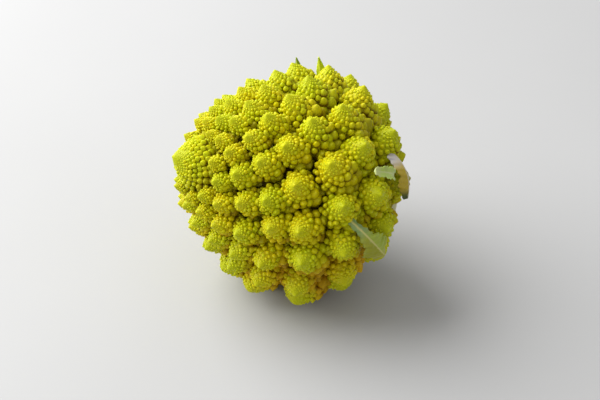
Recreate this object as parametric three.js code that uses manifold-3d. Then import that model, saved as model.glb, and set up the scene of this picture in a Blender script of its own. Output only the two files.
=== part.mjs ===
// A romanesco head lying on its side: a curd of spiralling florets, its cut stalk and five small leaves.
// Millimetres, +Z up. The origin is on the table, under the middle of the head's box.
import * as THREE from "three";
import { ConvexHull } from "three/addons/math/ConvexHull.js";
import { mergeVertices } from "three/addons/utils/BufferGeometryUtils.js";
import Module from "manifold-3d";

const wasm = await Module();
wasm.setup();

const DEGREE = Math.PI / 180;
const GOLDEN_ANGLE = Math.PI * (3 - Math.sqrt(5));

// How the head lies: its middle, and how far its tip rises off the table and turns to the viewer
const HEAD_CENTRE = [2.034, -1.355, 65.4];
const APEX_RISE = 26.5 * DEGREE;
const APEX_TURN = 18 * DEGREE;

// The head in its own frame: its middle at the origin, its tip along +Z
const HEAD_RADIUS = 71.7; // to the tips of the florets
const SHOULDER_DIP = 3.5; // the shoulders draw in by this and the skirt swells by it
const SHOULDER_WAVES = 3.4; // how soon along the arc they do so
const APEX_PEAK = 6; // the growing point stands out by this

// The spiral of florets
const SPIRAL_START = 16.5 * DEGREE; // from the tip of the head
const SPIRAL_END = 137 * DEGREE;
const SPIRAL_PHASE = 150 * DEGREE;
const LARGEST_FLORET = 35; // the spacing that florets grow towards
const GROWTH_LENGTH = 63; // the arc over which they grow
const PACKING = 0.866; // area of a floret over the square of its spacing
const SIZE_SPREAD = 0.14; // a floret is larger or smaller by up to half of this
const TURN_SPREAD = 7 * DEGREE; // and stands off the exact spiral by up to half of this
const SUNNY_GROWTH = 0.1; // florets that face up stand higher by this, in spacings, and those below lower
const APEX_LEAN = 0.45; // how strongly florets lean towards the tip of the head

// One floret: a pointed dome of buds that falls away to the valleys it shares with its neighbours
const SLENDERNESS = 0.55; // height of the leaning tip, in spacings
const EDGE_DEPTH = 0.5; // from the tips down to the valley between two florets, in spacings
const PIT_DEPTH = 0.72; // and down to the pit between three
const RELIEF_END = 0.72; // how far down the last row of buds is
const ROW_STRETCH = 1.6; // each row is this much farther down than the one above
const DOME = 0.8; // under 1 the floret is blunter
const APEX_DOME = 1.5; // the growing point is nearer to a cone
const BUD_RISE = 0.1; // of the reach there
const BUD_LIFT = 0.04; // of the fall there
const APEX_BUD = 30; // spacing of the growing point at the tip of the head
const TABLE_BITE = 0.7; // how far the lowest florets are flattened by the table

// The stalk, from the middle of the cut end up to where it branches into the core
const STALK_PROFILE = [
  [0, -65], [14.5, -65], [16, -63.5], [15.5, -53], [18, -45], [25, -38], [31, -33], [0, -24],
];
const STALK_SIDES = 20;
const STALK_PULL = 0.3; // how far the rim of the last florets is drawn in to it
const CORE_BOTTOM = -34; // level of the middle of the head's underside
const CORE_REACH = 55; // from the middle of the head to the underside round the stalk
const CORE_SIZE = 20;

// Stubs of the trimmed outer leaves: degrees from the tip and radius at root and end, and section
const STUB_COUNT = 6;
const STUB_START = 70 * DEGREE;
const STUB_ROOT = [165, 56];
const STUB_END = [140, 54];
const STUB_SPREAD = 8; // some reach out farther, up to this
const STUB = {
  bow: 1, width: 18, belly: 0.3, thickness: 3.5, rib: 3.5, cup: 0.3, waves: 0, wave: 0, blunt: 0.8,
};

const GAP = 0.4; // between one piece and the next

// Leaves: where each is rooted and ends, as degrees from the tip, degrees round the head and radius
const LEAVES = {
  leaf_base: {
    root: [114, -9, 62], tip: [124, -37, 72], bow: 5, width: 14, belly: 0.6, thickness: 0.9, rib: 2.4,
    cup: -0.2, waves: 2, wave: 1, blunt: 0.35,
  },
  leaf_front: {
    root: [91, -53, 64], tip: [115, -67, 76], bow: 5, width: 17, belly: 0.78, thickness: 0.8, rib: 1.2,
    cup: -0.5, waves: 2, wave: 0.6, blunt: 0.25,
  },
  leaf_side: {
    root: [111, -28, 71], tip: [93, -31, 80], bow: 2, width: 7, belly: 0.5, thickness: 0.8, rib: 0.6,
    cup: 0.5, waves: 1, wave: 0.4, blunt: 0.6,
  },
  leaf_top_left: {
    root: [91, 64, 50], tip: [82.5, 58, 77.5], bow: 2, width: 6, belly: 0.5, thickness: 0.8, rib: 0.6,
    cup: 0.3, waves: 1, wave: 0.4, blunt: 0.15,
  },
  leaf_top_right: {
    root: [98, 52, 50], tip: [86, 44, 77.5], bow: 2, width: 7, belly: 0.5, thickness: 0.8, rib: 0.6,
    cup: 0.3, waves: 1, wave: 0.4, blunt: 0.15,
  },
};
const LEAF_STEPS = 7;
const LEAF_STRIPS = 4;

const COLOURS = {
  curd: "#b9bb2c",
  stalk: "#cfc9a4",
  leaf_base: "#8c9650",
  leaf_front: "#7f8f56",
  leaf_side: "#9fa85c",
  leaf_top_left: "#6f8a34",
  leaf_top_right: "#a3b738",
};

// A repeatable number from 0 to 1 for each floret and purpose.
function draw(index, purpose) {
  const mixed = Math.sin(index * 12.9898 + purpose * 78.233) * 43758.5453;
  return mixed - Math.floor(mixed);
}

// Direction from the middle of the head, by angle from its tip and angle round it.
function direction(polar, azimuth) {
  const out = Math.sin(polar);
  return new THREE.Vector3(out * Math.cos(azimuth), out * Math.sin(azimuth), Math.cos(polar));
}

function tipRadius(polar) {
  return HEAD_RADIUS + SHOULDER_DIP * Math.cos(SHOULDER_WAVES * polar);
}

function spacing(polar) {
  return LARGEST_FLORET * (1 - Math.exp((-HEAD_RADIUS * polar) / GROWTH_LENGTH));
}

// The head's frame, laid on the table.
function headFrame() {
  const tip = new THREE.Vector3(
    -Math.cos(APEX_RISE) * Math.cos(APEX_TURN),
    -Math.cos(APEX_RISE) * Math.sin(APEX_TURN),
    Math.sin(APEX_RISE),
  );
  const frame = new THREE.Group();
  frame.name = "romanesco_head";
  frame.quaternion.setFromUnitVectors(new THREE.Vector3(0, 0, 1), tip);
  frame.position.set(...HEAD_CENTRE);
  frame.updateMatrix();
  return frame;
}

// Turn a closed geometry into a solid that can be joined and cut, leaving out triangles of no area.
function solid(geometry) {
  geometry.deleteAttribute("normal");
  geometry.deleteAttribute("uv");
  const merged = mergeVertices(geometry, 1e-3);
  const index = merged.index.array;
  const corners = [];
  for (let start = 0; start < index.length; start += 3) {
    const [a, b, c] = index.slice(start, start + 3);
    if (a !== b && b !== c && c !== a) {
      corners.push(a, b, c);
    }
  }
  const mesh = new wasm.Mesh({
    numProp: 3,
    vertProperties: merged.attributes.position.array,
    triVerts: new Uint32Array(corners),
  });
  return new wasm.Manifold(mesh);
}

// The body without sealed hollows and loose scraps.
function largest(body) {
  const shells = body.decompose();
  return shells.reduce((best, shell) => (shell.volume() > best.volume() ? shell : best));
}

function piece(name, body) {
  const { vertProperties, triVerts } = body.getMesh();
  const geometry = new THREE.BufferGeometry();
  geometry.setAttribute("position", new THREE.BufferAttribute(vertProperties, 3));
  geometry.setIndex(new THREE.BufferAttribute(triVerts, 1));
  const material = new THREE.MeshStandardMaterial({ color: COLOURS[name], roughness: 0.6 });
  const mesh = new THREE.Mesh(geometry, material);
  mesh.name = name;
  return mesh;
}

// Every floret along the spiral, after the growing point at the tip and before the place of the stalk.
function floretPlaces(frame) {
  const up = new THREE.Vector3(0, 0, 1).applyQuaternion(frame.quaternion.clone().invert());
  const growingPoint = { ...floretPlace(0, 0, APEX_BUD, up), dome: APEX_DOME };
  growingPoint.tip.z += APEX_PEAK;
  const places = [growingPoint];
  let height = Math.cos(SPIRAL_START);
  for (let index = 0; height > Math.cos(SPIRAL_END); index += 1) {
    const polar = Math.acos(height);
    const azimuth = SPIRAL_PHASE - index * GOLDEN_ANGLE - TURN_SPREAD * (draw(index, 1) - 0.5);
    const grown = 1 + SIZE_SPREAD * (draw(index, 2) - 0.5);
    places.push(floretPlace(polar, azimuth, spacing(polar) * grown, up));
    height -= (PACKING * spacing(polar) ** 2) / (2 * Math.PI * HEAD_RADIUS ** 2);
  }
  return places;
}

// A floret leans to the tip of the head, stands higher on the sunny side and is lifted clear of the table.
function floretPlace(polar, azimuth, size, up) {
  const normal = direction(polar, azimuth);
  const axis = normal.clone().add(new THREE.Vector3(0, 0, APEX_LEAN * Math.sin(polar))).normalize();
  const reach = tipRadius(polar) + SUNNY_GROWTH * size * normal.dot(up);
  const tip = normal.clone().multiplyScalar(reach - SLENDERNESS * size);
  tip.addScaledVector(axis, SLENDERNESS * size);
  const level = HEAD_CENTRE[2] + tip.dot(up);
  if (level < -TABLE_BITE) {
    tip.addScaledVector(up, -TABLE_BITE - level);
  }
  return { normal, axis, tip, size, reach, weight: 1 / size, dome: DOME, rows: size > 14 ? 3 : 2 };
}

// Where the stalk comes in: a plain cell without buds that the last florets close round.
function stalkPlace() {
  const normal = new THREE.Vector3(0, 0, -1);
  const tip = new THREE.Vector3(0, 0, CORE_BOTTOM);
  return { normal, tip, size: CORE_SIZE, reach: CORE_REACH, weight: STALK_PULL / LARGEST_FLORET, rows: 0 };
}

// Neighbours of every place in turn round it, from the hull of their directions.
function neighbourRings(places) {
  const order = new Map(places.map((place, index) => [place.normal, index]));
  const hull = new ConvexHull().setFromPoints(places.map((place) => place.normal));
  const following = places.map(() => new Map());
  for (const face of hull.faces) {
    const corners = [face.edge, face.edge.next, face.edge.prev].map((edge) => order.get(edge.head().point));
    corners.forEach((corner, turn) => {
      following[corner].set(corners[(turn + 1) % 3], corners[(turn + 2) % 3]);
    });
  }
  return following.map((next) => {
    const ring = [next.keys().next().value];
    while (ring.length < next.size) {
      ring.push(next.get(ring[ring.length - 1]));
    }
    return ring;
  });
}

// The bottom of the valley between two florets or of the pit between three, as deep as the smallest asks.
function valleyPoint(around) {
  const middle = new THREE.Vector3();
  around.forEach((place) => middle.addScaledVector(place.normal, place.weight));
  const reach = around.reduce((sum, place) => sum + place.reach, 0) / around.length;
  const smallest = Math.min(...around.map((place) => place.size));
  const depth = around.length === 2 ? EDGE_DEPTH : PIT_DEPTH;
  return middle.setLength(reach - depth * smallest);
}

// The skin of the whole curd: florets meet along shared valleys, so that it is one closed body.
function curdGeometry(places) {
  const rings = neighbourRings(places);
  const points = [];
  const corners = [];
  const valleys = new Map();
  function valley(...indices) {
    const key = indices.sort((a, b) => a - b).join();
    if (!valleys.has(key)) {
      valleys.set(key, points.push(valleyPoint(indices.map((index) => places[index]))) - 1);
    }
    return valleys.get(key);
  }
  places.forEach((place, index) => {
    const rim = rings[index].flatMap((near, turn) => {
      const next = rings[index][(turn + 1) % rings[index].length];
      return [valley(index, near), valley(index, near, next)];
    });
    coverCell(place, rim, points, corners);
  });
  return new THREE.BufferGeometry().setFromPoints(points).setIndex(corners);
}

// Cover one cell from its tip down to its rim with rows of buds, every second point of a row standing out.
function coverCell(place, rim, points, corners) {
  const rows = [];
  for (let row = 0; row < place.rows; row += 1) {
    const depth = RELIEF_END * ROW_STRETCH ** (row + 1 - place.rows);
    rows.push(rim.map((corner, side) => {
      const raised = (row + side) % 2 === 0 ? 1 : -1;
      const out = points[corner].clone().sub(place.tip);
      const fall = out.dot(place.axis);
      out.addScaledVector(place.axis, -fall);
      out.multiplyScalar(Math.sin((depth * Math.PI) / 2) ** place.dome * (1 + raised * BUD_RISE));
      out.addScaledVector(place.axis, fall * depth * (1 - raised * BUD_LIFT));
      return points.push(out.add(place.tip)) - 1;
    }));
  }
  rows.push(rim);
  const top = points.push(place.tip) - 1;
  rim.forEach((corner, side) => {
    const next = (side + 1) % rim.length;
    corners.push(top, rows[0][side], rows[0][next]);
    for (let row = 0; row < rows.length - 1; row += 1) {
      const [a, b] = [rows[row][side], rows[row][next]];
      const [c, d] = [rows[row + 1][side], rows[row + 1][next]];
      if ((row + side) % 2 === 0) {
        corners.push(a, c, b, b, c, d);
      } else {
        corners.push(a, c, d, a, d, b);
      }
    }
  });
}

// The stem, larger all round by the margin.
function stem(margin) {
  const outline = STALK_PROFILE.map(([radius, level], step) => {
    const outward = step === STALK_PROFILE.length - 1 ? margin : 0;
    return new THREE.Vector2(radius === 0 ? 0 : radius + margin, level + outward);
  });
  const geometry = new THREE.LatheGeometry(outline, STALK_SIDES);
  return solid(geometry.rotateX(Math.PI / 2));
}

// A point on a leaf's middle line, bowed out from the straight way between root and tip.
function leafPoint(leaf, along) {
  const mix = (column) => leaf.root[column] + (leaf.tip[column] - leaf.root[column]) * along;
  const bow = leaf.bow * Math.sin(Math.PI * Math.min(Math.max(along, 0), 1));
  return direction(mix(0) * DEGREE, mix(1) * DEGREE).multiplyScalar(mix(2) + bow);
}

function leafHalfWidth(leaf, along) {
  const swell = Math.sin(Math.PI * along ** (Math.log(0.5) / Math.log(leaf.belly)));
  return (leaf.width / 2) * (leaf.blunt + (1 - leaf.blunt) * swell);
}

// A blade with a thicker rib, cupped and waved, larger all round by the margin.
function bladeGeometry(leaf, margin) {
  const outer = [];
  const inner = [];
  for (let step = 0; step <= LEAF_STEPS; step += 1) {
    const along = step / LEAF_STEPS;
    const end = step === 0 ? -margin : step === LEAF_STEPS ? margin : 0;
    const here = leafPoint(leaf, along);
    const forward = leafPoint(leaf, along + 0.01).sub(leafPoint(leaf, along - 0.01)).normalize();
    const across = forward.clone().cross(here).normalize();
    const out = across.clone().cross(forward).normalize();
    for (let strip = 0; strip <= LEAF_STRIPS; strip += 1) {
      const side = (2 * strip) / LEAF_STRIPS - 1;
      const half = leafHalfWidth(leaf, along);
      const ripple = leaf.wave * side * side * Math.sin(2 * Math.PI * leaf.waves * along + side);
      const lift = leaf.cup * half * Math.abs(side) ** 1.5 + ripple;
      const thick = leaf.thickness / 2 + (leaf.rib / 2) * (1 - Math.abs(side)) ** 2 + margin;
      const middle = here.clone().addScaledVector(across, side * (half + margin))
        .addScaledVector(forward, end).addScaledVector(out, lift);
      outer.push(middle.clone().addScaledVector(out, thick));
      inner.push(middle.clone().addScaledVector(out, -thick));
    }
  }
  return closeBlade(outer, inner);
}

// Both faces of a blade split alike, and the edges between them.
function closeBlade(outer, inner) {
  const wide = LEAF_STRIPS + 1;
  const under = outer.length;
  const corners = [];
  for (let step = 0; step < LEAF_STEPS; step += 1) {
    for (let strip = 0; strip < LEAF_STRIPS; strip += 1) {
      const a = step * wide + strip;
      const b = a + 1;
      const c = a + wide;
      const d = c + 1;
      corners.push(a, b, c, b, d, c);
      corners.push(under + a, under + c, under + b, under + b, under + c, under + d);
    }
  }
  const rim = [];
  for (let strip = 0; strip < LEAF_STRIPS; strip += 1) {
    rim.push(strip);
  }
  for (let step = 0; step < LEAF_STEPS; step += 1) {
    rim.push(step * wide + LEAF_STRIPS);
  }
  for (let strip = LEAF_STRIPS; strip > 0; strip -= 1) {
    rim.push(LEAF_STEPS * wide + strip);
  }
  for (let step = LEAF_STEPS; step > 0; step -= 1) {
    rim.push(step * wide);
  }
  rim.forEach((here, place) => {
    const next = rim[(place + 1) % rim.length];
    corners.push(here, under + next, next, here, under + here, under + next);
  });
  return new THREE.BufferGeometry().setFromPoints([...outer, ...inner]).setIndex(corners);
}

// Stubs of the trimmed outer leaves, spread round the stem.
function stubs(margin) {
  const bodies = [];
  for (let index = 0; index < STUB_COUNT; index += 1) {
    const round = (STUB_START + index * GOLDEN_ANGLE) / DEGREE;
    const reach = STUB_END[1] + STUB_SPREAD * draw(index, 5);
    const root = [STUB_ROOT[0], round, STUB_ROOT[1]];
    const tip = [STUB_END[0], round, reach];
    bodies.push(solid(bladeGeometry({ ...STUB, root, tip }, margin)));
  }
  return bodies;
}

function tableUnder(frame) {
  const box = new THREE.BoxGeometry(400, 400, 100).translate(0, 0, -50);
  return solid(box.applyMatrix4(frame.matrix.clone().invert()));
}

function build() {
  const frame = headFrame();
  const stalk = wasm.Manifold.union([stem(0), ...stubs(0)]);
  const stalkRoom = wasm.Manifold.union([stem(GAP), ...stubs(GAP)]);
  const places = [...floretPlaces(frame), stalkPlace()];
  let curd = solid(curdGeometry(places)).subtract(tableUnder(frame)).subtract(stalkRoom);
  for (const [name, leaf] of Object.entries(LEAVES)) {
    curd = curd.subtract(solid(bladeGeometry(leaf, GAP)));
    const blade = solid(bladeGeometry(leaf, 0)).subtract(stalkRoom);
    frame.add(piece(name, blade));
  }
  frame.add(piece("curd", largest(curd)));
  frame.add(piece("stalk", stalk));
  const group = new THREE.Group();
  group.add(frame);
  return group;
}

export default build();
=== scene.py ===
"""Romanesco head: its fine florets, stalk and leaves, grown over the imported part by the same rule."""

import math
from typing import NamedTuple

import bpy
import numpy as np
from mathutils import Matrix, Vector


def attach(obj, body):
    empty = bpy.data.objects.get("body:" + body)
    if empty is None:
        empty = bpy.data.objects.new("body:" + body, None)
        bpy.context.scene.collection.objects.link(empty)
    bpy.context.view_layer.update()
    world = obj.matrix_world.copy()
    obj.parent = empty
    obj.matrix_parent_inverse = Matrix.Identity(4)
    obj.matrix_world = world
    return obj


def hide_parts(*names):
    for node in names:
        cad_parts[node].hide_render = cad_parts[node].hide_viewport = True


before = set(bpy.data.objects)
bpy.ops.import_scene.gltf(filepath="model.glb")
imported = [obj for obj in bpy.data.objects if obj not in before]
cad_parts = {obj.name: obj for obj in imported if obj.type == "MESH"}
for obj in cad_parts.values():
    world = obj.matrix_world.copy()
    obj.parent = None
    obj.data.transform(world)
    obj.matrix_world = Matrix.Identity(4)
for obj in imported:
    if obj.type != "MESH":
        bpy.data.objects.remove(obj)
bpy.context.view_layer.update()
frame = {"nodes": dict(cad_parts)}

bl_info = {
    "name": "Romanesco Head",
    "version": (1, 0, 0),
    "blender": (4, 5, 0),
    "location": "3D View > Sidebar > Romanesco",
    "description": "Grows the florets, stalk and leaves of a romanesco head over its solids",
    "category": "Add Mesh",
}


class Form(NamedTuple):
    """A pointed dome in spacings: reach at its waist, length down to there, and under 1 how blunt."""

    waist: float
    length: float
    bluntness: float


class Floret(NamedTuple):
    """One floret in the head's frame: its place along the spiral, tip, axis, spacing in mm and form."""

    index: int
    polar: float
    tip: np.ndarray
    axis: np.ndarray
    size: float
    form: Form


class Buds(NamedTuple):
    """Buds as arrays: tip, frame as rows, size, share of the floret's length, and tone."""

    tip: np.ndarray
    frame: np.ndarray
    size: np.ndarray
    age: np.ndarray
    tone: np.ndarray


class Leaf(NamedTuple):
    """A blade in millimetres; root and tip are degrees from the head's tip, degrees round it and radius."""

    root: tuple
    tip: tuple
    bow: float  # how far its middle stands out
    width: float
    belly: float  # where it is widest, as a share of its length
    thickness: float
    rib: float  # how much thicker it is along its rib
    cup: float  # how far its sides lift, in half widths
    waves: float  # ripples along its sides
    wave: float  # how high they are
    blunt: float  # how wide its ends are, as a share of its width


class Blade(NamedTuple):
    """How finely a leaf is meshed, its veins in millimetres, and how ragged its edge is."""

    steps: int
    strips: int
    vein_pitch: float
    vein_height: float
    ragged: float


class LeafFinish(NamedTuple):
    """A leaf's material and slot, how strong its bloom is, how ragged its edge, and its colours by part."""

    material: str
    slot: str
    bloom: float
    ragged: float
    colours: tuple


MM = 0.001
DEGREE = math.pi / 180
GOLDEN_ANGLE = math.pi * (3 - math.sqrt(5))
NEAR_ZERO = 1e-6

# How the head lies, in millimetres: its middle, and how far its tip rises and turns to the viewer
HEAD_CENTRE = np.array([2.034, -1.355, 65.4])
APEX_RISE = 26.5 * DEGREE
APEX_TURN = 18 * DEGREE

# The head in its own frame, tip along +Z, by the rule that the solids follow
HEAD_RADIUS = 71.7
SHOULDER_DIP = 3.5
SHOULDER_WAVES = 3.4
APEX_PEAK = 6
APEX_BUD = 30
SPIRAL_START = 16.5 * DEGREE
SPIRAL_END = 137 * DEGREE
SPIRAL_PHASE = 150 * DEGREE
LARGEST_FLORET = 35
GROWTH_LENGTH = 63
PACKING = 0.866
SIZE_SPREAD = 0.14
TURN_SPREAD = 7 * DEGREE
SUNNY_GROWTH = 0.1
APEX_LEAN = 0.45
SLENDERNESS = 0.55
TABLE_BITE = 0.7
GROWING_POINT = -1  # its index, before the first floret

# What each repeatable draw is for
TURN_DRAW = 1
SIZE_DRAW = 2
WINDING_DRAW = 3
START_DRAW = 4
STUB_DRAW = 5
BUD_TURN_DRAW = 6
BUD_SIZE_DRAW = 7
BUD_TONE_DRAW = 8
FLORET_TONE_DRAW = 9
BUD_STAND_DRAW = 10
AXIS_DRAWS = np.array([11, 12, 13])
DRAWS_PER_FLORET = 1000

# Forms of florets and buds
FLORET_FORM = Form(0.53, 0.8, 0.88)
LOW_FORM = Form(0.53, 0.72, 0.64)
GROWING_FORM = Form(0.62, 0.7, 1.0)
PEARL_FORM = Form(0.5, 0.76, 0.62)
LOW_LEAN = -0.3  # florets that lean down more than this, as a sine, are blunter
SLOPE_STEP = 0.005  # shares of the length between which a slope is taken

# How buds stand on a floret
FLORET_END = 1.7  # a floret closes in again below its waist, in lengths
RIM = 0.65  # where florets meet, in lengths
FIRST_BUD = 0.01  # no bud is nearer to the tip than this, in lengths
FIRST_BUD_STEP = 0.001  # steps in which the place of the smallest bud is sought
LAST_BUD = 1.3  # buds go this far down, in lengths
BUD_LEAN = 0.5  # how strongly buds lean to the tip of their floret
AXIS_SPREAD = 0.3  # florets stand off their even lean by up to half of this
OUTER_GROWTH = 0.55  # buds on the side away from the head's tip are larger by this
BUD_SPREAD = 0.4  # buds are larger or smaller, and off the exact spiral, by up to half of this
BUD_STAND = 0.42  # buds stand out or in by up to half of this, in buds
HIDDEN_DEPTH = 0.3  # a bud sunk this far into the next floret, in buds, is left out
BURIED_DEPTH = 0.5  # and so is one pressed this far under the table

# Bud meshes: smallest bud in millimetres, form, sides, rings and how far every second point stands out
BUD_MESHES = (
    (5.0, FLORET_FORM, 18, 8, 0.08),
    (3.4, FLORET_FORM, 14, 6, 0.07),
    (2.0, PEARL_FORM, 10, 4, 0.0),
    (1.1, PEARL_FORM, 7, 2, 0.0),
    (0.0, PEARL_FORM, 5, 1, 0.0),
)
RELIEF_LIFT = 0.5  # points that stand out also rise by this share of it
BUD_GATHER = 1.2  # over 1, rings gather towards the tip of a bud
SINGLE_RING = 0.6  # where the only ring of the smallest buds is, in lengths

# The flesh under the buds
FLESH_RINGS = 22
FLESH_SIDES = 28
FLESH_GATHER = 1.5
FLESH_RISE = 0.5  # it is coloured like the middle of a bud, part way out of the painted shade at a bud's foot
TIP_INSET = 0.1  # it lies this far below the buds at a floret's tip, in buds
RIM_INSET = 0.5  # and this far at its rim
STEM_START = 95 * DEGREE  # florets farther from the head's tip show their pale stems; on nearer ones the deep flesh is painted shade

# The core under the florets, in millimetres
CORE_RINGS = 40
CORE_SIDES = 56
CORE_DEPTH = 0.9  # below the tips of the florets, in spacings
CORE_LEAST = 18  # the least spacing that counts for that
CORE_UNDER = 37  # radius where it closes round the stalk
CORE_BOTTOM = -36.0
PALE_LEVEL = -20  # below this it is pale as a stem
GAP_SHADE_AGE = 1.0  # the age that is coloured as painted shade between florets
STEM_AGE = 1.6  # and as a stem

# How the curd is coloured: height in a bud, which sets painted shade at its foot and a painted highlight at
# its tip; way down the floret in lengths, which also sets painted shade on deep buds; tone; and how
# yellow-brown it is, partly real yellowing and partly painted warm bounce light
CURD_VALUES = ("rise", "age", "tone", "ochre")
FLORET_TONE = 0.5  # this share of a bud's tone is its floret's
SHADED_BUD = 4.5  # buds smaller than this, in millimetres, get less painted shade round their feet
LEAST_SHADE = 0.3  # but at least this share of it
OCHRE_HEIGHT = 95  # the skin turns yellow-brown below this height over the table, in millimetres, partly by real yellowing and partly as painted warm bounce light
OCHRE_FADE = 60  # and in full this far below that
OLD_START = 0.5  # florets count as old from here towards the stalk, in radii before the head's middle
OLD_OCHRE = 0.5  # how much more an old floret yellows
OCHRE_FACING = 0.6  # skin turns yellow-brown unless it faces up more than this, as a sine; on what faces down this is painted warm bounce light
OCHRE_START = 0.2  # it starts this far from a floret's tip, in lengths
OCHRE_RUN = 0.4  # and is in full this much farther down

# Zones of the curd from the tip down, each its own piece: name and last angle from the tip
CURD_ZONES = (
    ("curd_tip", 28), ("curd_crown", 42.5), ("curd_brow", 58), ("curd_shoulder", 72),
    ("curd_chest", 86), ("curd_waist", 101), ("curd_skirt", 116.5), ("curd_hem", 180),
)

# The stalk in millimetres: radius and level along the head's axis, from the cut end up
STALK_PROFILE = (
    (14.5, -65), (15.6, -64.6), (16, -63.5), (15.5, -53), (18, -45), (25, -38), (31, -33),
)
STALK_VALUES = ("cut", "radius", "vein")  # whether on the cut face, how far out on it, and how much a vein
STEM_RINGS = 60
STEM_SIDES = 96
STEM_TOP = -27.0
STEM_RIDGES = ((0.18, 11, 0), (0.12, 23, 1), (0.25, 3, 2))  # height, count and phase of each set
RIDGE_FADE = 4  # ridges fade out over this height above the cut
CUT_RINGS = 17
CUT_START = 0.06  # radius of the innermost ring of the cut face, as a share
CUT_DISH = 0.5  # how hollow the cut face is
CUT_LIP = 4  # the higher, the nearer to the rind it rises
CUT_RIPPLE = 0.12  # how high the growth rings stand
CUT_WAVES = 9  # and how close together
CUT_MIDDLE = -64.4  # level of the middle of the cut face
STUB_COUNT = 6
STUB_START = 70 * DEGREE
STUB_ROOT = (165, 56)
STUB_END = (140, 54)
STUB_SPREAD = 8
STUB_SECTION = (1, 18, 0.3, 3.5, 3.5, 0.3, 0, 0, 0.8)  # a leaf's values from its bow on
STUB_BLADE = Blade(30, 30, 4.0, 0.15, 0.03)

# The small leaves, each value in the order of Leaf
LEAVES = {
    "leaf_base": Leaf((114, -9, 62), (124, -37, 72), 5, 14, 0.6, 0.9, 2.4, -0.2, 2, 1, 0.35),
    "leaf_front": Leaf((91, -53, 64), (115, -67, 76), 5, 17, 0.78, 0.8, 1.2, -0.5, 2, 0.6, 0.25),
    "leaf_side": Leaf((111, -28, 71), (93, -31, 80), 2, 7, 0.5, 0.8, 0.6, 0.5, 1, 0.4, 0.6),
    "leaf_top_left": Leaf((91, 64, 50), (82.5, 58, 77.5), 2, 6, 0.5, 0.8, 0.6, 0.3, 1, 0.4, 0.15),
    "leaf_top_right": Leaf((98, 52, 50), (86, 44, 77.5), 2, 7, 0.5, 0.8, 0.6, 0.3, 1, 0.4, 0.15),
}
LEAF_VALUES = ("vein", "along", "half")  # how much a vein, how far along, and on which side of the rib
LEAF_STEPS = 64
LEAF_STRIPS = 40
LEAF_NUDGE = 0.01  # shares of the length between which a leaf's direction is taken
CUP_POWER = 1.5
RIB_POWER = 2
EDGE_START = 1.25  # a blade thins towards its edge: this less the way out to the power below
EDGE_POWER = 6
EDGE_LEAST = 0.3
TEARS = ((41, 3), (17, 1))  # waves along the edge and their slant, which together make it ragged
RIB_HALF = 0.9  # half width of the rib at its root, in millimetres
RIB_TAPER = 0.5  # and how much narrower it gets
VEIN_HALF = 0.28
VEIN_SLANT = 0.8
VEIN_REACH = 1.15  # veins fade out at this less the way out
VEIN_SHARE = 0.75  # how strong they are beside the rib

# Parts of a leaf that have a colour, in the order of LeafFinish
LEAF_PARTS = {
    "root": "Blade near its root",
    "upper": "Blade on one side of the rib",
    "lower": "Blade on the other side",
    "end": "Blade near its tip",
    "rib": "Rib and veins",
}
LEAF_FINISHES = {
    "leaf_base": LeafFinish(
        "torn_leaf", "leaf_waxy", 0.05, 0.3,
        ("#ccc6c4", "#a09c14", "#b49c1c", "#3a4804", "#d0c8ba"),
    ),
    "leaf_front": LeafFinish(
        "waxy_leaf", "leaf_waxy", 0.3, 0.22,
        ("#829a5c", "#9cac34", "#949612", "#a4a02c", "#c4be74"),
    ),
    "leaf_side": LeafFinish(
        "bloomed_leaf", "leaf_waxy", 0.3, 0.2,
        ("#bccc7c", "#bcd268", "#b4c85a", "#c4cc84", "#c8d28c"),
    ),
    "leaf_top_left": LeafFinish(
        "deep_green_leaf", "leaf_fresh", 0.05, 0.05,
        ("#94a230", "#7e9426", "#84982a", "#708424", "#a2b04a"),
    ),
    "leaf_top_right": LeafFinish(
        "young_leaf", "leaf_fresh", 0.05, 0.05,
        ("#c4c82c", "#c0cc1c", "#c4d01e", "#b0c41a", "#ccd446"),
    ),
}

# Widths of the patches and grains in the materials, in millimetres
FRESH_PATCH = 14
WAX_PATCH = 4
RIND_PATCH = 9
DRY_PATCH = 5
FIBRE = 0.8  # stem fibres, drawn coarser than life to show
BLOOM_PATCH = 6
LEAF_CELL = 1.2  # leaf cells, drawn coarser than life to show
PAPER_PATCH = 300
NOISE_DETAIL = 3.0
PLANT_IOR = 1.42
PAPER_UNEVEN = 0.97  # the darkest of the paper over its palest

# Sockets of a colour mix
MIX_FACTOR = 0
MIX_FIRST = 6
MIX_SECOND = 7
MIX_RESULT = 2

# The stage, in metres
FLOOR_REACH = 4.0
KEY_SIZE = 2.0
KEY_PLACE = Vector((-1.02, 0.42, 0.94))
KEY_AIM = Vector((0, 0, 0.06))
CAMERA_AIM = Vector((0, 0, 0.068))
CAMERA_SHIFT = (9 / 600, -20 / 600)  # in picture widths
SENSOR_WIDTH = 36  # in millimetres


def linear(colour):
    """An sRGB hex colour as linear red, green, blue and full alpha."""
    shares = [int(colour[start:start + 2], 16) / 255 for start in (1, 3, 5)]
    return (*[c / 12.92 if c <= 0.04045 else ((c + 0.055) / 1.055) ** 2.4 for c in shares], 1.0)


def colour_property(name, description, colour):
    """A colour that a user may change, from an sRGB hex value."""
    return bpy.props.FloatVectorProperty(
        name=name, description=description, default=linear(colour), size=4, subtype="COLOR", min=0, max=1,
    )


def length_property(name, description, millimetres):
    """A length that a user may change, kept in metres."""
    return bpy.props.FloatProperty(
        name=name, description=description, default=millimetres * MM, unit="LENGTH", min=0, precision=5,
    )


# Growth rule

def draw(index, purpose):
    """A repeatable number from 0 to 1 for each index and purpose, by the same hash as in the solids."""
    mixed = np.sin(index * 12.9898 + purpose * 78.233) * 43758.5453
    return mixed - np.floor(mixed)


def unit(vectors):
    """The same directions at length one."""
    return vectors / np.linalg.norm(vectors, axis=-1, keepdims=True)


def direction(polar, azimuth):
    """Direction from the head's middle, by angle from its tip and angle round it."""
    polar, azimuth = np.broadcast_arrays(polar, azimuth)
    out = np.sin(polar)
    return np.stack([out * np.cos(azimuth), out * np.sin(azimuth), np.cos(polar)], axis=-1)


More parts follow.
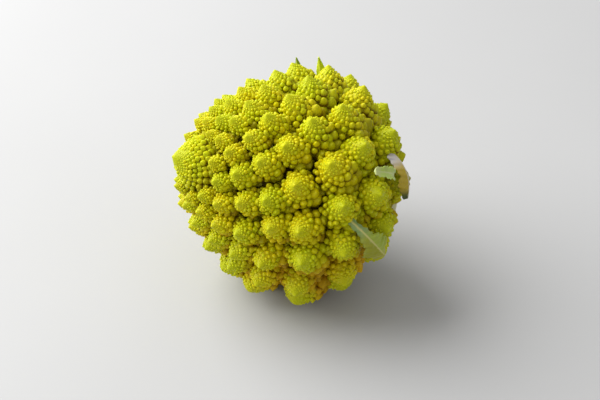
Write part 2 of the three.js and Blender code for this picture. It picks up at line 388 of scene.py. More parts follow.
def head_turn():
    """The turn that lays the head's own frame on the table, as a matrix."""
    level = math.cos(APEX_RISE)
    tip = Vector((-level * math.cos(APEX_TURN), -level * math.sin(APEX_TURN), math.sin(APEX_RISE)))
    return np.array(Vector((0, 0, 1)).rotation_difference(tip).to_matrix())


HEAD_TURN = head_turn()
UP = HEAD_TURN[2]  # the table's upward direction in the head's frame


def height_of(points):
    """Height over the table of points in the head's frame."""
    return points @ UP + HEAD_CENTRE[2]


def on_table(points):
    """Points of the head's frame laid on the table, none below it."""
    laid = points @ HEAD_TURN.T + HEAD_CENTRE
    laid[:, 2] = np.maximum(laid[:, 2], 0)
    return laid


def tip_radius(polar):
    """From the head's middle to the tips of the florets."""
    return HEAD_RADIUS + SHOULDER_DIP * np.cos(SHOULDER_WAVES * polar)


def spacing(polar):
    """The spacing of florets at an angle from the tip."""
    return LARGEST_FLORET * (1 - np.exp(-HEAD_RADIUS * polar / GROWTH_LENGTH))


def floret_at(index, polar, azimuth, size):
    """A floret that leans to the head's tip, stands higher on the sunny side and clears the table."""
    normal = direction(polar, azimuth)
    axis = unit(normal + np.array([0, 0, APEX_LEAN * math.sin(polar)]))
    strayed = AXIS_SPREAD * math.sin(polar) * (draw(index, AXIS_DRAWS) - 0.5)
    reach = tip_radius(polar) + SUNNY_GROWTH * size * (normal @ UP)
    tip = normal * (reach - SLENDERNESS * size) + axis * SLENDERNESS * size
    level = height_of(tip)
    if level < -TABLE_BITE:
        tip = tip + UP * (-TABLE_BITE - level)
    form = FLORET_FORM if axis @ UP > LOW_LEAN else LOW_FORM
    return Floret(index, polar, tip, unit(axis + strayed), size, form)


def all_florets():
    """The growing point and every floret along the spiral."""
    growing_point = floret_at(GROWING_POINT, 0.0, 0.0, APEX_BUD)
    peak = growing_point.tip + np.array([0, 0, APEX_PEAK])
    florets = [growing_point._replace(tip=peak, form=GROWING_FORM)]
    height = math.cos(SPIRAL_START)
    index = 0
    while height > math.cos(SPIRAL_END):
        polar = math.acos(height)
        azimuth = SPIRAL_PHASE - index * GOLDEN_ANGLE - TURN_SPREAD * (draw(index, TURN_DRAW) - 0.5)
        grown = 1 + SIZE_SPREAD * (draw(index, SIZE_DRAW) - 0.5)
        florets.append(floret_at(index, polar, azimuth, spacing(polar) * grown))
        height -= PACKING * spacing(polar) ** 2 / (2 * math.pi * HEAD_RADIUS ** 2)
        index += 1
    return florets


def dome_reach(share, form):
    """Reach of a floret or bud from its axis at a share of its length, in spacings."""
    return form.waist * np.sin(share * math.pi / 2) ** form.bluntness


def dome_slope(share, form):
    """How fast a floret's reach grows with the share of its length, in spacings."""
    farther = dome_reach(share + SLOPE_STEP, form)
    nearer = dome_reach(share - SLOPE_STEP, form)
    return (farther - nearer) / (2 * SLOPE_STEP)


def bud_size(share, form, pitch):
    """Size of the buds at a share of a floret's length, in spacings."""
    return pitch * np.hypot(dome_reach(share, form), form.length * share)


def bud_spiral(size, form, pitch, smallest):
    """Buds on a floret by the spiral rule: share of its length, turn and size of each."""
    share = FIRST_BUD
    while size * bud_size(share, form, pitch) < smallest:
        share += FIRST_BUD_STEP
    shares = []
    sizes = []
    while share < LAST_BUD:
        bud = size * bud_size(share, form, pitch)
        shares.append(share)
        sizes.append(bud)
        run = size * math.hypot(dome_slope(share, form), form.length)
        share += PACKING * bud ** 2 / (2 * math.pi * dome_reach(share, form) * size * run)
    return np.array(shares), np.arange(len(shares)) * GOLDEN_ANGLE, np.array(sizes)


def floret_frame(floret):
    """Rows along the floret's outer side, across it and along its axis."""
    away = np.array([0, 0, -1.0]) if floret.polar > 0 else np.array([1.0, 0, 0])
    across = unit(np.cross(floret.axis, away))
    outer = np.cross(across, floret.axis)
    return np.stack([outer, across, floret.axis])


def floret_buds(floret, pitch, smallest):
    """The buds of one floret in the head's frame."""
    form = floret.form
    share, turn, size = bud_spiral(floret.size, form, pitch, smallest)
    count = np.arange(len(share)) + DRAWS_PER_FLORET * floret.index
    if draw(floret.index, WINDING_DRAW) < 0.5:
        turn = -turn
    around = dome_reach(share, form) * floret.size
    strayed = BUD_SPREAD * (draw(count, BUD_TURN_DRAW) - 0.5) * size / around
    turn = turn + 2 * math.pi * draw(floret.index, START_DRAW) + strayed
    grown = 1 + BUD_SPREAD * (draw(count, BUD_SIZE_DRAW) - 0.5)
    size = size * (1 + OUTER_GROWTH * np.cos(turn) * share) * grown
    radial = np.stack([np.cos(turn), np.sin(turn), np.zeros_like(turn)], axis=1)
    upright = np.array([0, 0, 1.0])
    slope = dome_slope(share, form)[:, None]
    normal = unit(form.length * radial + slope * upright)
    uphill = unit(form.length * upright - slope * radial)
    axis = unit(normal + BUD_LEAN * uphill)
    side = np.cross(upright, radial)
    rows = floret_frame(floret)
    stand = BUD_STAND * (draw(count, BUD_STAND_DRAW) - 0.5) * size / floret.size
    place = dome_reach(share, form)[:, None] * radial - (form.length * share)[:, None] * upright
    place = place + stand[:, None] * normal
    bud_frame = np.stack([side, np.cross(axis, side), axis], axis=1) @ rows
    own_tone = (1 - FLORET_TONE) * draw(count, BUD_TONE_DRAW)
    tone = own_tone + FLORET_TONE * draw(floret.index, FLORET_TONE_DRAW)
    return Buds(floret.tip + floret.size * place @ rows, bud_frame, size, share, tone)


def sunk_in(points, margin, florets):
    """True for each point that lies inside one of these florets by more than its margin."""
    sunk = np.zeros(len(points), bool)
    for floret in florets:
        offset = points - floret.tip
        fall = -(offset @ floret.axis)
        reach = np.linalg.norm(offset + fall[:, None] * floret.axis, axis=1)
        share = fall / (floret.form.length * floret.size)
        inside = dome_reach(np.clip(share, 0, FLORET_END), floret.form) * floret.size - reach > margin
        sunk |= inside & (share > 0) & (share < FLORET_END)
    return sunk


def in_stalk(points):
    """True for each point inside the stalk."""
    radii, levels = np.array(STALK_PROFILE, float).T
    width = np.interp(points[:, 2], levels, radii, left=0, right=0)
    return np.hypot(points[:, 0], points[:, 1]) < width


def showing(buds, floret, florets):
    """The buds that aren't sunk in another floret or the stalk, or pressed under the table."""
    near = [
        other for other in florets
        if other is not floret and np.linalg.norm(other.tip - floret.tip) < floret.size + other.size
    ]
    hidden = sunk_in(buds.tip, HIDDEN_DEPTH * buds.size, near) | in_stalk(buds.tip)
    hidden |= height_of(buds.tip) < -BURIED_DEPTH * buds.size
    return Buds(*[values[~hidden] for values in buds])


# Meshes

class Skin:
    """Gathers points, triangles and named values per point, then makes them one mesh piece."""

    def __init__(self, *values):
        self.points = []
        self.corners = []
        self.values = {name: [] for name in values}
        self.count = 0

    def add(self, points, corners, **values):
        """Add points and triangles, with one value or one per point for each name."""
        self.points.append(points)
        self.corners.append(corners + self.count)
        for name, gathered in self.values.items():
            gathered.append(np.broadcast_to(values[name], len(points)))
        self.count += len(points)

    def piece(self, name, node, slot, material):
        """Make the mesh object, which rides on the head and stands for a node."""
        points = np.concatenate(self.points) * MM
        corners = np.concatenate(self.corners)
        mesh = bpy.data.meshes.new(name)
        mesh.vertices.add(len(points))
        mesh.vertices.foreach_set("co", points.astype(np.float32).ravel())
        mesh.loops.add(corners.size)
        mesh.loops.foreach_set("vertex_index", corners.astype(np.int32).ravel())
        mesh.polygons.add(len(corners))
        mesh.polygons.foreach_set("loop_start", np.arange(0, corners.size, 3, dtype=np.int32))
        for key, gathered in self.values.items():
            layer = mesh.attributes.new(key, "FLOAT", "POINT")
            layer.data.foreach_set("value", np.concatenate(gathered).astype(np.float32))
        mesh.update(calc_edges=True)
        mesh.validate()
        mesh.shade_smooth()
        mesh.materials.append(material)
        piece = bpy.data.objects.new(name, mesh)
        bpy.context.scene.collection.objects.link(piece)
        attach(piece, "root")
        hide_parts(node)


def ring_points(reach, level, turn):
    """Points round an axis, ring by ring: how far out, how high and at which turn."""
    reach, level, turn = np.broadcast_arrays(reach, level, turn)
    return np.stack([reach * np.cos(turn), reach * np.sin(turn), level], axis=-1).reshape(-1, 3)


def ring_corners(rings, sides):
    """Triangles between closed rings of points, laid out ring by ring from the top."""
    row = np.arange(rings - 1)[:, None] * sides
    here = np.arange(sides)
    following = (here + 1) % sides
    a, b = row + here, row + following
    c, d = a + sides, b + sides
    return np.concatenate([
        np.stack([a, c, b], axis=-1).reshape(-1, 3), np.stack([b, c, d], axis=-1).reshape(-1, 3),
    ])


def closed_corners(rings, sides):
    """Triangles of a closed form: its rings, then a point on top and a point below."""
    top = rings * sides
    here = np.arange(sides)
    following = (here + 1) % sides
    last = (rings - 1) * sides
    cap = np.stack([np.full(sides, top), here, following], axis=1)
    base = np.stack([np.full(sides, top + 1), last + following, last + here], axis=1)
    return np.concatenate([ring_corners(rings, sides), cap, base])


def dome_points(shares, sides, form, relief):
    """A dome of unit spacing with its tip at the origin, every second point standing out by the relief."""
    ring = np.arange(len(shares))[:, None]
    side = np.arange(sides)[None, :]
    raised = np.where((ring + side) % 2 == 0, relief, -relief)
    out = dome_reach(shares, form)[:, None] * (1 + raised)
    fall = -form.length * shares[:, None] * (1 - RELIEF_LIFT * raised)
    points = ring_points(out, fall, 2 * math.pi * side / sides)
    ends = np.array([[0, 0, 0], [0, 0, -form.length * shares[-1]]])
    return np.concatenate([points, ends])


def bud_mesh(form, sides, rings, relief):
    """One bud of unit spacing: points, triangles and how far up the bud each point is."""
    shares = (np.arange(1, rings + 1) / rings) ** BUD_GATHER if rings > 1 else np.array([SINGLE_RING])
    points = dome_points(shares, sides, form, relief)
    return points, closed_corners(rings, sides), 1 + points[:, 2] / form.length


def ochre_and_bounce_of(points, facing, age):
    """How yellow-brown the skin is, partly real yellowing and partly painted warm bounce light from below:
    most on old florets low on the head, facing down, away from their tips.
    """
    low = np.clip((OCHRE_HEIGHT - height_of(points)) / OCHRE_FADE, 0, 1)
    old = np.clip(OLD_START - points[:, 2] / HEAD_RADIUS, 0, 1)
    turned = np.clip(OCHRE_FACING + OLD_OCHRE * old - facing, 0, 1)
    return low * turned * np.clip((age - OCHRE_START) / OCHRE_RUN, 0, 1)


def add_buds(skin, buds):
    """Add every bud, with finer meshes for larger ones."""
    larger = np.inf
    for least, form, sides, rings, relief in BUD_MESHES:
        chosen = (buds.size >= least) & (buds.size < larger)
        larger = least
        if not chosen.any():
            continue
        model, corners, rise = bud_mesh(form, sides, rings, relief)
        tip, axes, size, age, tone = [values[chosen] for values in buds]
        points = tip[:, None] + size[:, None, None] * (model @ axes)
        starts = np.arange(len(size))[:, None, None] * len(model)
        ochre = ochre_and_bounce_of(tip, axes[:, 2] @ UP, age)
        # painted shade at the foot of each bud, weaker on small buds
        shade = np.clip(size / SHADED_BUD, LEAST_SHADE, 1)
        skin.add(
            on_table(points.reshape(-1, 3)), (corners + starts).reshape(-1, 3),
            rise=(1 - shade[:, None] * (1 - rise)).ravel(), age=np.repeat(age, len(model)),
            tone=np.repeat(tone, len(model)), ochre=np.repeat(ochre, len(model)),
        )


def add_flesh(skin, floret, pitch):
    """Add the smooth body that a floret's buds stand on, down to its stem."""
    shares = FLORET_END * (np.arange(1, FLESH_RINGS + 1) / FLESH_RINGS) ** FLESH_GATHER
    model = dome_points(shares, FLESH_SIDES, floret.form, 0.0)
    depth = np.append(np.repeat(shares, FLESH_SIDES), [0, FLORET_END])
    inset = TIP_INSET + (RIM_INSET - TIP_INSET) * np.clip(depth / RIM, 0, 1)
    inset = inset * bud_size(depth, floret.form, pitch)
    across = np.linalg.norm(model[:, :2], axis=1)
    model[:, :2] *= (np.maximum(across - inset, 0) / np.maximum(across, NEAR_ZERO))[:, None]
    model[:, 2] -= inset
    points = floret.tip + floret.size * model @ floret_frame(floret)
    # Near the head's tip the deep flesh keeps the age that is coloured as painted shade between florets
    last = FLORET_END if floret.polar > STEM_START else GAP_SHADE_AGE
    skin.add(
        on_table(points), closed_corners(FLESH_RINGS, FLESH_SIDES), rise=FLESH_RISE,
        age=np.minimum(depth, last), tone=draw(floret.index, FLORET_TONE_DRAW),
        ochre=ochre_and_bounce_of(points, floret.axis @ UP, depth),
    )


def add_core(skin):
    """Add the body of the head under its florets, cupped in to the stalk."""
    polar = math.pi * np.arange(1, CORE_RINGS + 1) / (CORE_RINGS + 1)
    apart = np.maximum(spacing(np.minimum(polar, SPIRAL_END)), CORE_LEAST)
    depth = tip_radius(polar) - CORE_DEPTH * apart
    under = np.clip((polar - SPIRAL_END) / (math.pi - SPIRAL_END), 0, 1)
    radius = depth * (1 - under) + CORE_UNDER * under
    turn = 2 * math.pi * np.arange(CORE_SIDES) / CORE_SIDES
    points = (radius[:, None, None] * direction(polar[:, None], turn[None, :])).reshape(-1, 3)
    ends = np.array([[0, 0, radius[0]], [0, 0, CORE_BOTTOM]])
    points = np.concatenate([points, ends])
    # The core is coloured as painted shade between florets, and pale as a stem low down
    age = np.where(points[:, 2] < PALE_LEVEL, STEM_AGE, GAP_SHADE_AGE)
    skin.add(
        on_table(points), closed_corners(CORE_RINGS, CORE_SIDES), rise=0.0, age=age, tone=0.5, ochre=0.0,
    )


def leaf_line(leaf, along):
    """Points on a leaf's middle line, bowed out from the straight way between root and tip."""
    root = np.array(leaf.root, float)
    tip = np.array(leaf.tip, float)
    polar, azimuth, radius = root[:, None] + (tip - root)[:, None] * along
    bow = leaf.bow * np.sin(math.pi * np.clip(along, 0, 1))
    return direction(polar * DEGREE, azimuth * DEGREE) * (radius + bow)[:, None]


def leaf_half_width(leaf, along):
    """Half the width of a leaf along it."""
    swell = np.sin(math.pi * along ** (math.log(0.5) / math.log(leaf.belly)))
    return (leaf.width / 2) * (leaf.blunt + (1 - leaf.blunt) * swell)


def vein_pattern(along, side, half, length, pitch):
    """From 0 to 1: the middle rib and side veins that leave it slanting to the tip."""
    off = np.abs(side) * half
    rib = np.exp(-(off / (RIB_HALF - RIB_TAPER * along)) ** 2)
    slant = (along * length - VEIN_SLANT * off) / pitch + 0.5 * (side > 0)
    line = np.abs(slant - np.round(slant)) * pitch
    branch = np.exp(-(line / VEIN_HALF) ** 2) * np.clip(VEIN_REACH - np.abs(side), 0, 1)
    return np.maximum(rib, VEIN_SHARE * branch)


def add_blade(skin, leaf, blade, **values):
    """Add a leaf blade with rib, veins and a ragged edge, closed all round."""
    along = np.linspace(0, 1, blade.steps + 1)
    here = leaf_line(leaf, along)
    forward = unit(leaf_line(leaf, along + LEAF_NUDGE) - leaf_line(leaf, along - LEAF_NUDGE))
    across = unit(np.cross(forward, here))
    out = unit(np.cross(across, forward))
    length = np.linalg.norm(np.diff(here, axis=0), axis=1).sum()
    run = along[:, None]
    side = np.linspace(-1, 1, blade.strips + 1)[None, :]
    half = leaf_half_width(leaf, run)
    tear = np.prod([np.sin(waves * run + slant * side) for waves, slant in TEARS], axis=0)
    ripple = leaf.wave * side ** 2 * np.sin(2 * math.pi * leaf.waves * run + side)
    lift = leaf.cup * half * np.abs(side) ** CUP_POWER + ripple
    vein = vein_pattern(run, side, half, length, blade.vein_pitch)
    thick = leaf.thickness / 2 + (leaf.rib / 2) * (1 - np.abs(side)) ** RIB_POWER
    thick = thick * np.clip(EDGE_START - np.abs(side) ** EDGE_POWER, EDGE_LEAST, 1)
    thick = thick + blade.vein_height * vein
    middle = here[:, None] + across[:, None] * (side * half * (1 + blade.ragged * tear))[..., None]
    middle = middle + out[:, None] * lift[..., None]
    faces = [middle + sign * out[:, None] * thick[..., None] for sign in (1, -1)]
    whole = np.ones_like(vein)
    skin.add(
        on_table(np.concatenate(faces).reshape(-1, 3)), blade_corners(blade.steps, blade.strips),
        vein=np.tile(vein.ravel(), 2), along=np.tile((run * whole).ravel(), 2),
        half=np.tile((np.sign(side) * whole).ravel(), 2), **values,
    )


def blade_corners(steps, strips):
    """Triangles of both faces of a blade, split alike, and of the edges between them."""
    wide = strips + 1
    under = (steps + 1) * wide
    a = (np.arange(steps)[:, None] * wide + np.arange(strips)).ravel()
    b, c, d = a + 1, a + wide, a + wide + 1
    faces = [
        np.stack([a, b, c], 1), np.stack([b, d, c], 1),
        under + np.stack([a, c, b], 1), under + np.stack([b, c, d], 1),
    ]
    rim = np.concatenate([
        np.arange(strips), np.arange(steps) * wide + strips,
        steps * wide + np.arange(strips, 0, -1), np.arange(steps, 0, -1) * wide,
    ])
    following = np.roll(rim, -1)
    faces.append(np.stack([rim, under + following, following], 1))
    faces.append(np.stack([rim, under + rim, under + following], 1))
    return np.concatenate(faces)


def add_stem(skin):
    """Add the stem with shallow ridges and a slightly hollowed cut end."""
    radii, levels = np.array(STALK_PROFILE, float).T
    level = np.linspace(levels[0], levels[-1], STEM_RINGS)
    radius = np.interp(level, levels, radii)
    turn = 2 * math.pi * np.arange(STEM_SIDES) / STEM_SIDES
    ridge = sum(height * np.sin(count * turn + phase) for height, count, phase in STEM_RIDGES)
    out = radius[:, None] + ridge * np.clip((level[:, None] - levels[0]) / RIDGE_FADE, 0, 1)
    face = np.linspace(CUT_START, 1, CUT_RINGS + 1)[:-1]
    dish = levels[0] + CUT_DISH * (1 - face ** CUT_LIP) + CUT_RIPPLE * np.sin(CUT_WAVES * face)
    wall = ring_points(out[::-1], level[::-1, None], turn)
    cut = ring_points(face[::-1, None] * out[0], dish[::-1, None], turn)
    ends = np.array([[0, 0, STEM_TOP], [0, 0, CUT_MIDDLE]])
    share = np.concatenate([np.ones(len(wall)), np.repeat(face[::-1], STEM_SIDES), [1.0, 0.0]])
    opened = np.concatenate([np.zeros(len(wall)), np.ones(len(cut)), [0.0, 1.0]])
    skin.add(
        on_table(np.concatenate([wall, cut, ends])), closed_corners(STEM_RINGS + CUT_RINGS, STEM_SIDES),
        cut=opened, radius=share, vein=0.0,
    )


# Materials

def add_node(tree, kind, inputs=None, **settings):
    """Add a node with its settings; each input is a plain value or the socket that is linked to it."""
    node = tree.nodes.new(kind)
    for name, value in settings.items():
        setattr(node, name, value)
    for socket, value in (inputs or {}).items():
        if isinstance(value, bpy.types.NodeSocket):
            tree.links.new(value, node.inputs[socket])
        else:
            node.inputs[socket].default_value = value
    return node


def new_material(name, values, patches):
    """A material, its tree and what varies over it: values kept per point, and noise by width in mm."""
    material = bpy.data.materials.new(name)
    material.use_nodes = True
    tree = material.node_tree
    tree.nodes.clear()
    place = add_node(tree, "ShaderNodeTexCoord").outputs["Object"]
    sources = []
    for value in values:
        kept = add_node(tree, "ShaderNodeAttribute", attribute_name=value)
        sources.append(kept.outputs["Fac"])
    for width in patches:
        inputs = {"Vector": place, "Scale": 1 / (width * MM), "Detail": NOISE_DETAIL}
        sources.append(add_node(tree, "ShaderNodeTexNoise", inputs).outputs["Fac"])
    return material, tree, sources


def paint(tree, colour, coats):
    """Lay coats over a colour: each eases in to its strength as its source goes from low to high."""
    for source, low, high, strength, coat in coats:
        ease = add_node(
            tree, "ShaderNodeMapRange",
            {"Value": source, "From Min": low, "From Max": high, "To Max": strength},
            interpolation_type="SMOOTHSTEP",
        )
        mix = add_node(
            tree, "ShaderNodeMix", {MIX_FACTOR: ease.outputs[0], MIX_FIRST: colour, MIX_SECOND: coat},
            data_type="RGBA",
        )
        colour = mix.outputs[MIX_RESULT]
    return colour


def romanesco_skin(settings):
    """Romanesco curd as grown: countless smooth buds under a thin film of wax."""
    # Wax leaves broad dull highlights, and light within the flesh softens buds and yellows the spaces
    # between them, which are also painted a dark warm shade
    material, tree, sources = new_material("romanesco_skin", CURD_VALUES, (FRESH_PATCH, WAX_PATCH))
    rise, age, tone, ochre, patches, wax = sources
    flesh = paint(tree, settings.flesh, [(tone, 0.1, 0.9, 1.0, settings.fresh)])
    colour = paint(tree, settings.gap, [
        # painted shade: the foot of each bud takes the dark colour of the spaces between buds
        (rise, 0.15, 0.65, 1.0, flesh),
        # painted highlight: the tips of buds are paler
        (rise, 0.8, 1.0, 0.4, settings.bud_tip_highlight),
        (age, 0.3, 0.0, 0.5, settings.floret_tip),
        (patches, 0.45, 0.75, 0.35, settings.fresh),
        # partly the real yellowing of old florets, partly painted warm bounce light from below
        (ochre, 0.05, 0.8, 0.7, settings.ochre),
        # painted shade on the deep buds and flesh between florets
        (age, 0.5, 1.0, 0.6, settings.gap),
        (age, 1.15, 1.5, 1.0, settings.stem),
    ])
    place = add_node(tree, "ShaderNodeTexCoord").outputs["Object"]
    grain = add_node(tree, "ShaderNodeTexVoronoi", {"Vector": place, "Scale": 1 / settings.grain})
    bump = add_node(
        tree, "ShaderNodeBump",
        {"Strength": 0.35, "Distance": 0.25 * settings.grain, "Height": grain.outputs["Distance"]},
        invert=True,
    )
    rough = add_node(
        tree, "ShaderNodeMapRange",
        {"Value": wax, "From Min": 0.3, "From Max": 0.7, "To Min": 0.38, "To Max": 0.52},
        interpolation_type="SMOOTHSTEP",
    )
    shader = add_node(tree, "ShaderNodeBsdfPrincipled", {
        "Base Color": colour, "Roughness": rough.outputs[0], "Normal": bump.outputs["Normal"],
        "IOR": PLANT_IOR, "Specular IOR Level": 0.2, "Subsurface Weight": 0.25,
        "Subsurface Radius": (1.0, 0.8, 0.15), "Subsurface Scale": 1.2 * MM,
    })
    add_node(tree, "ShaderNodeOutputMaterial", {"Surface": shader.outputs[0]})
    return material


def stalk_skin(settings):
    """Brassica stem cut with a knife: smooth fibrous rind, and a cut face that has begun to dry."""
    # The rind is pale and greener in patches; the face shows pith, a woody ring and tan dry spots
    material, tree, sources = new_material("cut_stalk", STALK_VALUES, (RIND_PATCH, DRY_PATCH, FIBRE))
    cut, radius, vein, patches, dry, fibres = sources
    rind = paint(tree, settings.rind, [
        (patches, 0.35, 0.7, 1.0, settings.rind_green),
        (vein, 0.3, 0.9, 0.6, settings.pith),
    ])
    face = paint(tree, settings.pith, [
        (radius, 0.72, 0.82, 1.0, settings.ring),
        (radius, 0.86, 0.97, 1.0, settings.rind_green),
        (dry, 0.5, 0.75, 0.55, settings.dry),
    ])
    mix = add_node(
        tree, "ShaderNodeMix", {MIX_FACTOR: cut, MIX_FIRST: rind, MIX_SECOND: face}, data_type="RGBA",
    )
    bump = add_node(tree, "ShaderNodeBump", {"Strength": 0.4, "Distance": 0.15 * MM, "Height": fibres})
    shader = add_node(tree, "ShaderNodeBsdfPrincipled", {
        "Base Color": mix.outputs[MIX_RESULT], "Normal": bump.outputs["Normal"], "Roughness": 0.55,
        "IOR": PLANT_IOR, "Subsurface Weight": 0.2, "Subsurface Radius": (1.0, 0.9, 0.5),
        "Subsurface Scale": 2 * MM,
    })
    add_node(tree, "ShaderNodeOutputMaterial", {"Surface": shader.outputs[0]})
    return material


def leaf_skin(leaf, settings):
    """Brassica leaf as grown: a thin blade under a film of wax."""
    # Rib and veins are pale, the wax dulls the blade with a grey-green bloom, and some light comes through
    finish = LEAF_FINISHES[leaf]
    material, tree, sources = new_material(finish.material, LEAF_VALUES, (BLOOM_PATCH, LEAF_CELL))
    vein, along, half, bloom, cells = sources
    root, upper, lower, end, rib = [getattr(settings, f"{leaf}_{part}") for part in LEAF_PARTS]
    colour = paint(tree, upper, [
        (half, -0.4, 0.4, 1.0, lower),
        (along, 0.5, 0.25, 1.0, root),
        (along, 0.78, 0.96, 1.0, end),
        (bloom, 0.42, 0.72, finish.bloom, settings.bloom),
        (vein, 0.25, 0.95, 0.9, rib),
    ])
    bump = add_node(tree, "ShaderNodeBump", {"Strength": 0.3, "Distance": 0.1 * MM, "Height": cells})
    shader = add_node(tree, "ShaderNodeBsdfPrincipled", {
        "Base Color": colour, "Normal": bump.outputs["Normal"], "Roughness": 0.5, "IOR": PLANT_IOR,
        "Subsurface Weight": 0.3, "Subsurface Radius": (0.8, 1.0, 0.3), "Subsurface Scale": 1.0 * MM,
    })
    add_node(tree, "ShaderNodeOutputMaterial", {"Surface": shader.outputs[0]})
    return material


def pale_paper(settings):
    """Uncoated paper from a roll."""
    # It is matt and pale, with the faintest unevenness of tone
    material, tree, (patches,) = new_material("pale_paper", (), (PAPER_PATCH,))
    darker = (*[PAPER_UNEVEN * channel for channel in settings.floor[:3]], 1.0)
    colour = paint(tree, settings.floor, [(patches, 0.3, 0.7, 1.0, darker)])
    shader = add_node(tree, "ShaderNodeBsdfPrincipled", {"Base Color": colour, "Roughness": 0.9})
    add_node(tree, "ShaderNodeOutputMaterial", {"Surface": shader.outputs[0]})
    return material


# Settings

class CurdSettings(bpy.types.PropertyGroup):
    """Sizes and colours of the curd."""

    bud_pitch: bpy.props.FloatProperty(
        name="Bud Pitch", description="Bud size over distance from the floret's tip", default=0.33,
        min=0.1, max=0.5, subtype="FACTOR",
    )
    crown_pitch: bpy.props.FloatProperty(
        name="Crown Pitch", description="Bud size over distance from the tip of the growing point",
        default=0.19, min=0.1, max=0.5, subtype="FACTOR",
    )
    smallest_bud: length_property("Smallest Bud", "Finest buds near a floret's tip", 0.4)
    grain: length_property("Grain", "Spacing of the finest grain, drawn coarser than life to show", 0.7)
    flesh: colour_property("Flesh", "Yellow-green of most buds", "#d7c704")
    fresh: colour_property("Fresh", "Greener tone of some buds", "#bec406")
    # painted shade in the spaces between buds and florets
    gap: colour_property("Gap Shade", "Between buds", "#6e5400")
    # a painted highlight on the tips of buds
    bud_tip_highlight: colour_property("Bud Tip Highlight", "Palest, on the tips of buds", "#cad632")
    floret_tip: colour_property("Floret Tip", "Fine buds at the tip of a floret", "#c4ce10")
    # partly real yellowing, partly painted warm bounce light on the underside
    ochre: colour_property("Ochre And Bounce", "Yellowed underside", "#c48c06")
    stem: colour_property("Stem", "Stems under the florets", "#cfd28e")


class StalkSettings(bpy.types.PropertyGroup):
    """Colours of the stalk."""

    rind: colour_property("Rind", "Pale skin of the stem", "#cdcaa0")
    rind_green: colour_property("Green Rind", "Greener parts of the skin", "#b9c283")
    pith: colour_property("Pith", "Middle of the cut face", "#dfdcb8")
    ring: colour_property("Ring", "Woody ring of the cut face", "#ece6c8")
    dry: colour_property("Dry", "Dried patches of the cut face", "#b99f78")


class LeafSettings(bpy.types.PropertyGroup):
    """Veins and bloom of the small leaves; add_leaf_colours adds the colours of each leaf."""

    vein_pitch: length_property("Vein Pitch", "Spacing of the side veins", 3.4)
    vein_height: length_property("Vein Height", "How far veins stand out", 0.12)
    bloom: colour_property("Bloom", "Grey-green film of wax", "#98a26c")


def add_leaf_colours():
    """Give the leaf settings a colour for each part of each leaf."""
    for leaf, finish in LEAF_FINISHES.items():
        for part, colour in zip(LEAF_PARTS, finish.colours):
            label = f"{leaf}_{part}"
            name = label.replace("_", " ").title()
            LeafSettings.__annotations__[label] = colour_property(name, LEAF_PARTS[part], colour)


class StageSettings(bpy.types.PropertyGroup):
    """Floor, light and camera."""

    floor: colour_property("Floor", "Pale floor", "#b6b6b6")
    key_power: bpy.props.FloatProperty(
        name="Key Light", description="Power of the large soft light", default=50, min=0, unit="POWER",
    )
    sky: bpy.props.FloatProperty(
        name="Sky", description="Strength of the light from all round", default=0.55, min=0,
    )
    elevation: bpy.props.FloatProperty(
        name="Elevation", description="Camera above the horizon", default=36 * DEGREE, subtype="ANGLE",
    )
    distance: length_property("Distance", "From the camera to the head", 859)
    lens: bpy.props.FloatProperty(
        name="Lens", description="Focal length on a 36 mm sensor", default=86, min=10, unit="CAMERA",
    )


# Stage

def lay_floor(scene, settings):
    """Lay a wide square of paper under the head."""
    mesh = bpy.data.meshes.new("floor")
    corners = [(-1, -1), (1, -1), (1, 1), (-1, 1)]
    mesh.from_pydata([(x * FLOOR_REACH, y * FLOOR_REACH, 0) for x, y in corners], [], [(0, 1, 2, 3)])
    mesh.materials.append(pale_paper(settings))
    floor = bpy.data.objects.new("floor", mesh)
    scene.collection.objects.link(floor)


def hang_light(scene, settings):
    """Hang one large soft light at the upper left, in a white room."""
    lamp = bpy.data.lights.new("key", "AREA")
    lamp.shape = "DISK"
    lamp.size = KEY_SIZE
    lamp.energy = settings.key_power
    key = bpy.data.objects.new("key", lamp)
    key.location = KEY_PLACE
    key.rotation_euler = (KEY_AIM - KEY_PLACE).to_track_quat("-Z", "Y").to_euler()
    scene.collection.objects.link(key)
    world = bpy.data.worlds.new("soft_room")
    world.use_nodes = True
    sky = world.node_tree.nodes["Background"]
    sky.inputs["Color"].default_value = (1, 1, 1, 1)
    sky.inputs["Strength"].default_value = settings.sky
    scene.world = world


def place_camera(scene, settings):
    """Place the camera in front of the head, looking down on it."""
    lens = bpy.data.cameras.new("camera")
    lens.lens = settings.lens
    lens.sensor_width = SENSOR_WIDTH
    lens.shift_x, lens.shift_y = CAMERA_SHIFT
    camera = bpy.data.objects.new("camera", lens)
    back = Vector((0, -math.cos(settings.elevation), math.sin(settings.elevation)))
    camera.location = CAMERA_AIM + back * settings.distance
    camera.rotation_euler = (-back).to_track_quat("-Z", "Y").to_euler()
    scene.collection.objects.link(camera)
    scene.camera = camera


# Operators

class ROMANESCO_OT_curd(bpy.types.Operator):
    """Grow the curd: every floret with its buds, zone by zone"""

    bl_idname = "romanesco.curd"
    bl_label = "Grow Curd"

    def execute(self, context):
        settings = context.scene.romanesco_curd
        material = romanesco_skin(settings)
        florets = all_florets()
        start = 0.0
        for name, degrees in CURD_ZONES:
            end = degrees * DEGREE
            skin = Skin(*CURD_VALUES)
            for floret in florets:
                if not start <= floret.polar < end:
                    continue
                pitch = settings.crown_pitch if floret.index == GROWING_POINT else settings.bud_pitch
                buds = floret_buds(floret, pitch, settings.smallest_bud / MM)
                add_buds(skin, showing(buds, floret, florets))
                add_flesh(skin, floret, pitch)
            skin.piece(name, "curd", "curd", material)
            start = end
        core = Skin(*CURD_VALUES)
        add_core(core)
        core.piece("curd_core", "curd", "curd", material)
        return {"FINISHED"}


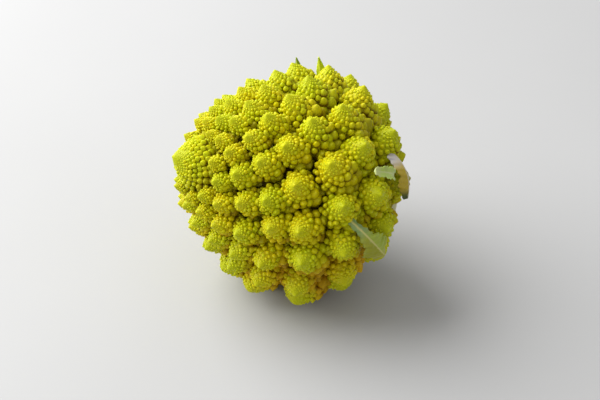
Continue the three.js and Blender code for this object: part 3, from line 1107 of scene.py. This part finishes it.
class ROMANESCO_OT_stalk(bpy.types.Operator):
    """Make the cut stem and the stubs of its trimmed leaves"""

    bl_idname = "romanesco.stalk"
    bl_label = "Make Stalk"

    def execute(self, context):
        skin = Skin(*STALK_VALUES)
        add_stem(skin)
        for index in range(STUB_COUNT):
            around = (STUB_START + index * GOLDEN_ANGLE) / DEGREE
            reach = STUB_END[1] + STUB_SPREAD * draw(index, STUB_DRAW)
            root = (STUB_ROOT[0], around, STUB_ROOT[1])
            tip = (STUB_END[0], around, reach)
            add_blade(skin, Leaf(root, tip, *STUB_SECTION), STUB_BLADE, cut=0.0, radius=1.0)
        skin.piece("cut_stalk", "stalk", "stalk", stalk_skin(context.scene.romanesco_stalk))
        return {"FINISHED"}


class ROMANESCO_OT_leaves(bpy.types.Operator):
    """Make the small leaves between the florets"""

    bl_idname = "romanesco.leaves"
    bl_label = "Make Leaves"

    def execute(self, context):
        settings = context.scene.romanesco_leaves
        pitch = settings.vein_pitch / MM
        height = settings.vein_height / MM
        for name, leaf in LEAVES.items():
            finish = LEAF_FINISHES[name]
            skin = Skin(*LEAF_VALUES)
            add_blade(skin, leaf, Blade(LEAF_STEPS, LEAF_STRIPS, pitch, height, finish.ragged))
            skin.piece(name + "_blade", name, finish.slot, leaf_skin(name, settings))
        return {"FINISHED"}


class ROMANESCO_OT_stage(bpy.types.Operator):
    """Set the pale floor, the soft light and the camera"""

    bl_idname = "romanesco.stage"
    bl_label = "Set Stage"

    def execute(self, context):
        scene = context.scene
        settings = scene.romanesco_stage
        lay_floor(scene, settings)
        hang_light(scene, settings)
        place_camera(scene, settings)
        scene.view_settings.view_transform = "Standard"
        return {"FINISHED"}


class ROMANESCO_PT_panel(bpy.types.Panel):
    """The steps and their settings, in order"""

    bl_label = "Romanesco"
    bl_idname = "ROMANESCO_PT_panel"
    bl_space_type = "VIEW_3D"
    bl_region_type = "UI"
    bl_category = "Romanesco"

    def draw(self, context):
        for operator, group in STEPS:
            box = self.layout.box()
            box.operator(operator)
            settings = getattr(context.scene, group)
            for name in type(settings).__annotations__:
                box.prop(settings, name)


STEPS = (
    ("romanesco.curd", "romanesco_curd"),
    ("romanesco.stalk", "romanesco_stalk"),
    ("romanesco.leaves", "romanesco_leaves"),
    ("romanesco.stage", "romanesco_stage"),
)
GROUPS = {
    "romanesco_curd": CurdSettings,
    "romanesco_stalk": StalkSettings,
    "romanesco_leaves": LeafSettings,
    "romanesco_stage": StageSettings,
}
CLASSES = (
    *GROUPS.values(), ROMANESCO_OT_curd, ROMANESCO_OT_stalk, ROMANESCO_OT_leaves, ROMANESCO_OT_stage,
    ROMANESCO_PT_panel,
)


def register():
    """Add the classes and the settings they keep on the scene."""
    add_leaf_colours()
    for cls in CLASSES:
        bpy.utils.register_class(cls)
    for name, group in GROUPS.items():
        setattr(bpy.types.Scene, name, bpy.props.PointerProperty(type=group))


def unregister():
    """Take the settings and classes away again."""
    for name in GROUPS:
        delattr(bpy.types.Scene, name)
    for cls in reversed(CLASSES):
        bpy.utils.unregister_class(cls)


def main():
    """Build the head in order."""
    register()
    bpy.ops.romanesco.curd()
    bpy.ops.romanesco.stalk()
    bpy.ops.romanesco.leaves()
    bpy.ops.romanesco.stage()


if __name__ == "__main__":
    main()
